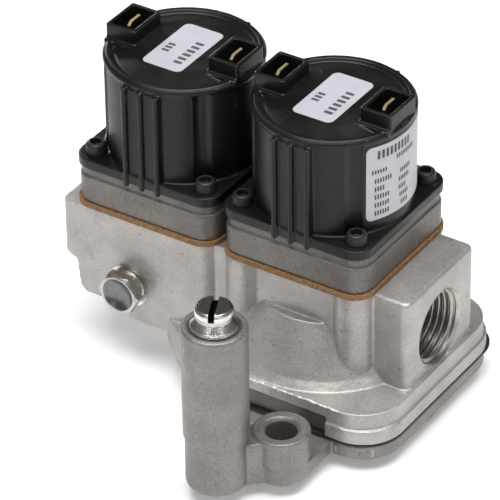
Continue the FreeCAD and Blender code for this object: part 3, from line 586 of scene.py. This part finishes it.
def valve_casting():
    """Main body with its dome, and a threaded tube let into each port."""
    depth_in, depth_out = 11.5 * MM, 14.5 * MM
    ends = ((IN_FACE, Vector((1, 0, 0)), depth_in), (OUT_FACE, Vector((-1, 0, 0)), depth_out))
    bores = []
    for face, into, depth in ends:
        start = Vector((face, 0, 0))
        bores.append(rod_cutter("bore", MOUTH_R + 0.05 * MM, start - into * MM, start + into * depth))
    cast_copy("main_body", "valve_casting", 0.30 * MM, 2, cutters=bores, fills=[dome_shoulder()])
    for side, (face, into, depth) in zip(SIDES, ends):
        start = Vector((face, 0, 0)) + into * 0.05 * MM
        thread_tube("port_thread_" + side, start, into, depth - 0.05 * MM, PORT_CREST, PORT_ROOT,
                    PORT_PITCH, MOUTH_R + 0.25 * MM, PORT_METAL, BODY, mouth=MOUTH_R)


def regulator_cap():
    """Polished cap; two nicks under the slot on its flare."""
    middle = centre("regulator_cap")
    reach, height = 5.5 * MM, CAP_TOP - 4.7 * MM
    nicks = []
    for step in (-1, 1):
        angle = radians(33.0 + 4.5 * step)
        place = Vector((middle.x + sin(angle) * reach, middle.y - cos(angle) * reach, height))
        nicks.append(block_cutter("nick", place, (0.45 * MM, 1.2 * MM, 1.8 * MM), angle))
    cast_copy("regulator_cap", "regulator_cap_turned", 0.12 * MM, 2, cutters=nicks, material=CAP_METAL)


def tapping_plug():
    """Turned hexagon head, and the pipe thread that shows behind it."""
    low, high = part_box("tap_plug")
    middle = centre("tap_plug")
    back = low.y + 3.0 * MM
    shank_size = (14 * MM, high.y - back + MM, 14 * MM)
    shank = block_cutter("shank", Vector((middle.x, back + shank_size[1] / 2, middle.z)), shank_size)
    cast_copy("tap_plug", "tap_plug_head", 0.11 * MM, 2, cutters=[shank], material=PLUG_METAL)
    start = Vector((middle.x, back - 0.3 * MM, middle.z))
    thread_tube("tap_plug_thread", start, Vector((0, 1, 0)), high.y - start.y, PLUG_CREST, PLUG_ROOT,
                PLUG_PITCH, 0.5 * MM, PLUG_METAL, body_of("tap_plug"))


# ---- labels ----
def marks(shape, s, t, width, height, place, lift, block, gap):
    """A row of plain upright blocks that stands for a printed word."""
    for k in range(int(width / (block + gap))):
        middle = s + (block + gap) * k + block / 2

        def spot(a, b, c, middle=middle):
            return place(middle + a, t + b, c)
        film(shape, block, height, 0.15 * MM, spot, lift, lift + 0.03 * MM, 2, 3)


def rating_label():
    """Foil wrapped round the outlet cover, with a heading and rows of blank marks."""
    low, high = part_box("rating_label")
    axis = centre("coil_cover_outlet")
    radius, thick = 21.42 * MM, 0.13 * MM
    width, height = radius * radians(72), high.z - low.z

    def place(s, t, lift):
        angle = s / radius
        z = (low.z + high.z) / 2 + t
        return Vector((axis.x + (radius + lift) * cos(angle), (radius + lift) * sin(angle), z))

    sheet = bmesh.new()
    film(sheet, width, height, 1.6 * MM, place, 0.0, thick, 72, 36)
    piece = film_piece("rating_label_sheet", sheet, MATERIALS["label"])
    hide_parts("rating_label")
    REPLACED.add("rating_label")
    # Left end, drop from the top edge and height of each row, then its words and the gaps between
    # them by turns, all in millimetres.
    rows = [(3.2, 2.6, 2.6, (13.5,)), (9.5, 5.4, 1.5, (8.0,)), (1.6, 7.6, 1.2, (5.5,))]
    table = ((6.0, 2.6, 5.0), (3.6, 4.4, 5.0), (5.0, 3.0, 3.6), (4.8, 3.6, 4.6), (4.8, 4.2, 3.4))
    rows += [(2.4, 10.4 + 2.45 * k, 1.5, lengths) for k, lengths in enumerate(table)]
    ink = bmesh.new()
    for left, drop, tall, lengths in rows:
        at = left * MM - width / 2
        bold = 1.7 if tall > 2 else 1.0
        for index, length in enumerate(lengths):
            if index % 2 == 0:
                marks(ink, at, height / 2 - drop * MM, length * MM, tall * MM, place, thick,
                      0.5 * MM * bold, 0.3 * MM * bold)
            at += length * MM
    film_piece("rating_label_marks", ink, PRINT)


def top_label(side):
    """Label on top of a coil cover, with two rows of blank marks."""
    node = "top_label_" + side
    low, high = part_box(node)
    middle = (low + high) / 2

    def place(s, t, lift):
        return Vector((middle.x + t, middle.y + s, low.z + lift))

    thick = high.z - low.z
    sheet = bmesh.new()
    film(sheet, high.y - low.y, high.x - low.x, 1.8 * MM, place, 0.0, thick, 48, 26)
    # The sheet takes the darker copy of the label colour, as painted shade.
    piece = film_piece("top_label_sheet_" + side, sheet, TOP_LABEL_SHADED_COPY)
    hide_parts(node)
    REPLACED.add(node)
    ink = bmesh.new()
    marks(ink, -7.4 * MM, 2.8 * MM, 13.0 * MM, 2.5 * MM, place, thick, 1.15 * MM, 0.95 * MM)
    marks(ink, -3.8 * MM, -3.4 * MM, 5.0 * MM, 2.2 * MM, place, thick, 0.95 * MM, 0.65 * MM)
    film_piece("top_label_marks_" + side, ink, PRINT)


# ---- springs and diaphragm ----
def deforming_piece(node, fixed_z):
    """A spring or diaphragm copied from its CAD node, whose end at fixed_z stays.

    One that stands on its fixed end stays where it is, with no body.  One that hangs from it
    rides on the valve body.
    """
    low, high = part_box(node)
    moving_z = high.z if high.z - fixed_z > fixed_z - low.z else low.z
    piece = bpy.data.objects.new(node + "_flexing", welded(node))
    bpy.context.scene.collection.objects.link(piece)
    piece.data.materials.clear()
    piece.data.materials.append(MATERIALS[slot_of(node)])
    if moving_z > fixed_z:
        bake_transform(piece)
    else:
        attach(piece, BODY)
        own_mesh(piece)
    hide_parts(node)
    REPLACED.add(node)


# ---- mould flash ----
def flash(name, points, thickness, seed, material):
    """A broken bead of metal where two halves of the mould met."""
    chance = np.random.default_rng(seed)
    shape = bmesh.new()
    sides = 6
    rows = []
    for i, point in enumerate(points):
        ahead = points[min(i + 1, len(points) - 1)] - points[max(i - 1, 0)]
        across = ahead.cross(Vector((0, 0, 1))).normalized()
        radius = thickness * chance.uniform(0.35, 1.0)
        radius = 0.1 * thickness if i in (0, len(points) - 1) else radius
        middle = point + Vector((0, 0, thickness * chance.uniform(-0.3, 0.3)))
        angles = [2 * pi * k / sides for k in range(sides)]
        spokes = [across * cos(angle) + Vector((0, 0, sin(angle))) for angle in angles]
        rows.append([shape.verts.new(middle + spoke * radius) for spoke in spokes])
    for first, second in zip(rows, rows[1:]):
        for k in range(sides):
            shape.faces.new((first[k], first[(k + 1) % sides], second[(k + 1) % sides], second[k]))
    shape.faces.new(rows[0][::-1])
    shape.faces.new(rows[-1])
    bmesh.ops.recalc_face_normals(shape, faces=shape.faces)
    add_piece(name, mesh_from(shape, name), material)


def flange_flash():
    """Along the front top edge of the diaphragm flange."""
    low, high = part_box("main_body")
    y, z = low.y + 0.75 * MM, low.z + 8.95 * MM
    start, end = high.x - 57.5 * MM, high.x - 12.5 * MM
    count = 75
    points = [Vector((start + (end - start) * i / count, y, z)) for i in range(count + 1)]
    # The bead takes the lighter copy of the casting: a painted highlight.
    flash("flange_flash", points, 0.42 * MM, 3, FLASH_HIGHLIGHT_METAL)


def bonnet_flash(side):
    """Round the ledge of a bonnet, over its front and its outlet side."""
    low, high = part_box("bonnet_" + side)
    z, corner, sunk, spacing, bends = low.z + 7.9 * MM, 5.5 * MM, 0.05 * MM, 0.8 * MM, 8
    front = np.arange(low.x + corner, high.x - corner, spacing)
    flank = np.arange(low.y + corner + MM, high.y - corner, spacing)
    points = [Vector((x, low.y + sunk, z)) for x in front]
    for k in range(bends + 1):
        angle = -pi / 2 + pi / 2 * k / bends
        turn = Vector((cos(angle), sin(angle), 0)) * (corner - sunk)
        points.append(Vector((high.x - corner, low.y + corner, z)) + turn)
    points += [Vector((high.x - sunk, y, z)) for y in flank]
    flash("bonnet_flash_" + side, points, 0.15 * MM, 5 + SIDES.index(side),
          MATERIALS["dark_casting"])


valve_casting()
flange_flash()
cast_copy("bottom_cover", "diaphragm_cover_casting", 0.28 * MM, 4, material=MATERIALS["cover_casting"])
for side in SIDES:
    cast_copy("bonnet_" + side, "bonnet_casting_" + side, 0.40 * MM, 3, 50000)
    cast_copy("coil_cover_" + side, "coil_cover_moulding_" + side, 0.26 * MM, 2)
    cast_copy("bonnet_screws_" + side, "bonnet_screws_pressed_" + side, 0.16 * MM, 2, 60000)
    bonnet_flash(side)
    top_label(side)
rating_label()
regulator_cap()
tapping_plug()

for joint in frame["record"]["behaviour"]["joints"]:
    for entry in joint.get("deforming_nodes", []):
        deforming_piece(entry["node"], entry["fixed_end_z_m"])

for node in NODES:
    if node not in REPLACED:
        finish_node(node)


# ---- stage, light and camera ----
def studio():
    """White paper floor, and a sky that is dimmest towards the back left and above."""
    scene = bpy.context.scene
    scene.view_settings.view_transform = "Standard"
    scene.world = bpy.data.worlds.new("studio_world")
    scene.world.use_nodes = True
    tree = scene.world.node_tree
    background = tree.nodes["Background"]
    background.inputs["Color"].default_value = (1.0, 0.99, 0.985, 1.0)
    look = tree.nodes.new("ShaderNodeTexCoord")
    away = tree.nodes.new("ShaderNodeVectorMath")
    away.operation = "DOT_PRODUCT"
    away.inputs[1].default_value = (-0.45, 0.69, 0.57)
    dim = tree.nodes.new("ShaderNodeMapRange")
    for name, number in (("From Min", 0.2), ("From Max", 0.95), ("To Min", 0.205), ("To Max", 0.055)):
        dim.inputs[name].default_value = number
    tree.links.new(look.outputs["Generated"], away.inputs[0])
    tree.links.new(away.outputs["Value"], dim.inputs["Value"])
    tree.links.new(dim.outputs["Result"], background.inputs["Strength"])

    reach = 3.0
    shape = bmesh.new()
    bmesh.ops.create_grid(shape, x_segments=8, y_segments=8, size=reach)
    floor_mesh = mesh_from(shape, "floor")
    floor = bpy.data.objects.new("floor", floor_mesh)
    scene.collection.objects.link(floor)
    floor.location.z = cad_box[0].z
    paper = Material("floor_paper", specular=0.2)
    paper.colour(paper.mix(paper.noise(0.2), (0.90, 0.90, 0.90), (0.92, 0.92, 0.92)))
    paper.roughness(paper.remap(paper.noise(0.01), 0.0, 1.0, 0.75, 0.9))
    paper.shader.inputs["Emission Color"].default_value = (1.0, 1.0, 1.0, 1.0)
    paper.shader.inputs["Emission Strength"].default_value = 0.20
    floor_mesh.materials.append(paper.material)


def softbox(name, place, target, size, power):
    """Rectangular light, turned towards a point."""
    light = bpy.data.lights.new(name, "AREA")
    light.shape = "RECTANGLE"
    light.size, light.size_y = size
    light.energy = power
    lamp = bpy.data.objects.new(name, light)
    bpy.context.scene.collection.objects.link(lamp)
    lamp.location = place
    lamp.rotation_mode = "QUATERNION"
    lamp.rotation_quaternion = (Vector(target) - Vector(place)).to_track_quat("-Z", "Y")


def camera():
    """A long lens from the front outlet corner, 34 degrees above the horizon."""
    azimuth, elevation, roll = radians(33.34), radians(34.41), radians(-0.79)
    back = Vector((sin(azimuth) * cos(elevation), -cos(azimuth) * cos(elevation), sin(elevation)))
    right = Vector((cos(azimuth), sin(azimuth), 0.0))
    up = back.cross(right)
    tilted_right = right * cos(roll) + up * sin(roll)
    tilted_up = up * cos(roll) - right * sin(roll)
    data = bpy.data.cameras.new("camera")
    data.sensor_width = 36.0
    data.lens = 286.8
    data.clip_start, data.clip_end = 0.05, 20.0
    eye = bpy.data.objects.new("camera", data)
    bpy.context.scene.collection.objects.link(eye)
    turn = Matrix((tilted_right, tilted_up, back)).transposed().to_4x4()
    stand = Vector((0.42774, -0.73755, 0.60753))
    eye.matrix_world = Matrix.Translation(stand) @ turn
    bpy.context.scene.camera = eye


studio()
middle = (cad_box[0] + cad_box[1]) / 2
softbox("overhead", middle + Vector((0.08, -0.10, 0.88)), middle, (0.9, 0.6), 11.8)
softbox("front", middle + Vector((-0.05, -0.85, 0.45)), middle, (0.35, 0.5), 0.45)
softbox("right", middle + Vector((0.80, -0.15, 0.30)), middle, (0.5, 0.5), 0.65)
softbox("back_strip", middle + Vector((-0.63, 0.50, 0.12)), middle, (0.06, 0.6), 2.9)
camera()
